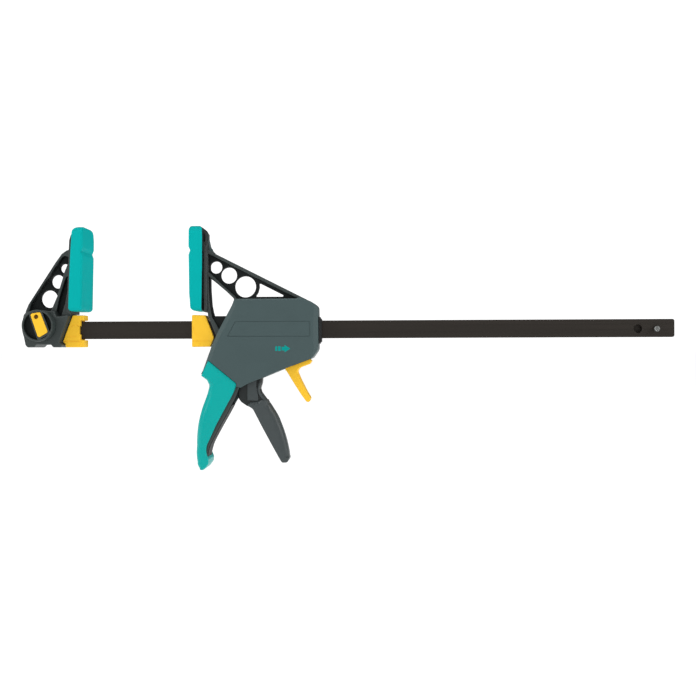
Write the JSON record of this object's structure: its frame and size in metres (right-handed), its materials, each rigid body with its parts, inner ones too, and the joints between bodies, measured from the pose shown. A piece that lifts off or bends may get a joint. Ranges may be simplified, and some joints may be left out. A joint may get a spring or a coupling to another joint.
{
  "type": "one-handed bar clamp",
  "caption": "One-handed bar clamp: flat steel bar, locked fixed jaw and a sliding pistol-grip head with trigger, release lever, soft pads and inner drive and brake plates.",
  "frame": {"origin": "middle of the clamp's length on its mid-plane, at the lowest point, the tip of the grip; the clamp is drawn upright with its jaws up", "axes": "+X along the bar towards its free end, +Y away from the side with the locking knob, +Z from the grip towards the jaws"},
  "size_m": [0.6912, 0.04, 0.2605],
  "materials": {
    "blackened_steel": "blackened drawn steel, faint streaks along the bar",
    "bright_steel": "zinc plated",
    "plate_steel": "hardened, ground faces",
    "spring_steel": "drawn spring wire",
    "jaw_plastic": "dark glass-filled nylon, fine moulded grain",
    "housing_plastic": "grey-green nylon, satin with fine grain",
    "guide_plastic": "black, satin",
    "trigger_plastic": "dark grey nylon, satin",
    "pad_teal": "soft moulded teal plastic, matte",
    "grip_teal": "soft overmould, satin",
    "yellow_plastic": "warm yellow, satin gloss"
  },
  "bodies": {
    "rail": {"rail_bar": "blackened_steel", "end_stop_pin": "bright_steel", "fixed_jaw_frame": "jaw_plastic", "fixed_jaw_pad": "pad_teal", "fixed_bar_block": "yellow_plastic"},
    "lock_knob": {"lock_knob": "jaw_plastic", "lock_knob_insert": "yellow_plastic", "lock_knob_screw": "bright_steel"},
    "lock_pin": {"lock_pin": "bright_steel"},
    "head": {"housing_front": "housing_plastic", "housing_rear": "housing_plastic", "housing_screw_1": "bright_steel", "housing_screw_2": "bright_steel", "housing_screw_3": "bright_steel", "housing_screw_4": "bright_steel", "housing_screw_5": "bright_steel", "handle_grip": "grip_teal", "moving_jaw_pad": "pad_teal", "moving_pad_key": "jaw_plastic", "moving_bar_block": "yellow_plastic", "rear_guide_plate": "guide_plastic", "trigger_pivot_pin": "bright_steel", "release_pivot_pin": "bright_steel", "drive_spring": "spring_steel", "brake_spring": "spring_steel"},
    "trigger": {"trigger": "trigger_plastic"},
    "drive_plates": {"drive_plate_1": "plate_steel", "drive_plate_2": "plate_steel"},
    "release_lever": {"release_lever": "yellow_plastic"},
    "brake_plate": {"brake_plate": "plate_steel"}
  },
  "joints": [
    {"name": "head_slide", "type": "slide", "parent": "rail", "child": "head", "axis": [1, 0, 0], "range_m": [-0.113, 0.347]},
    {"name": "trigger_squeeze", "type": "hinge", "parent": "head", "child": "trigger", "pos_m": [-0.0986, 0, 0.1086], "axis": [0, 1, 0], "range_deg": [0, 25], "stiffness_Nm_per_rad": 1.2, "springref_deg": -14.32, "deforming": ["drive_spring"]},
    {"name": "drive_plates_slide", "type": "slide", "parent": "head", "child": "drive_plates", "axis": [1, 0, 0], "range_m": [0, 0.0125]},
    {"name": "release_press", "type": "hinge", "parent": "head", "child": "release_lever", "pos_m": [-0.0593, 0, 0.114], "axis": [0, 1, 0], "range_deg": [0, 12], "stiffness_Nm_per_rad": 0.6, "springref_deg": -11.46, "deforming": ["brake_spring"]},
    {"name": "brake_tilt", "type": "hinge", "parent": "head", "child": "brake_plate", "pos_m": [-0.0473, 0, 0.1625], "axis": [0, 1, 0], "range_deg": [-5, 0]},
    {"name": "knob_turn", "type": "hinge", "parent": "rail", "child": "lock_knob", "pos_m": [-0.3254, 0, 0.1543], "axis": [0, 1, 0], "range_deg": [0, 90]},
    {"name": "lock_pin_draw", "type": "slide", "parent": "rail", "child": "lock_pin", "axis": [0, -1, 0], "range_m": [0, 0.0054]}
  ],
  "couplings": [
    {"joint": "drive_plates_slide", "follows": "trigger_squeeze", "m_per_rad": 0.0265},
    {"joint": "brake_tilt", "follows": "release_press", "ratio": -0.4},
    {"joint": "lock_pin_draw", "follows": "knob_turn", "m_per_rad": 0.00334}
  ]
}
